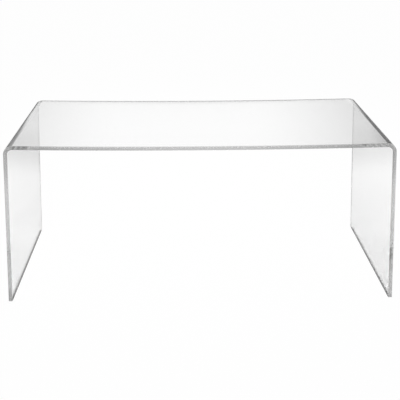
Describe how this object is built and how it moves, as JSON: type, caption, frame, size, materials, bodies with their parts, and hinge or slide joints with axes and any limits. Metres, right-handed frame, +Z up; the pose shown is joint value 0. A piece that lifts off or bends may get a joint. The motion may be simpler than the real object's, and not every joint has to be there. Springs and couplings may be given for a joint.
{
  "type": "waterfall coffee table",
  "caption": "Low table folded from one thick clear acrylic sheet, with a level top that curves down at both ends into slab legs on small clear bumper feet.",
  "frame": {"origin": "on the floor, under the middle of the top", "axes": "+X along the table's width to the right, +Y to the rear, +Z up; the front edge is at -Y"},
  "size_m": [1.015, 0.61, 0.422],
  "materials": {
    "clear_acrylic": "clear cast acrylic sheet with polished faces and flame-polished edges",
    "clear_polyurethane": "clear soft moulded polyurethane",
    "clear_adhesive": "clear pressure-sensitive adhesive film"
  },
  "bodies": {
    "root": {"acrylic_sheet": "clear_acrylic", "front_left_foot": "clear_polyurethane", "front_left_foot_adhesive": "clear_adhesive", "rear_left_foot": "clear_polyurethane", "rear_left_foot_adhesive": "clear_adhesive", "front_right_foot": "clear_polyurethane", "front_right_foot_adhesive": "clear_adhesive", "rear_right_foot": "clear_polyurethane", "rear_right_foot_adhesive": "clear_adhesive"}
  },
  "joints": []
}
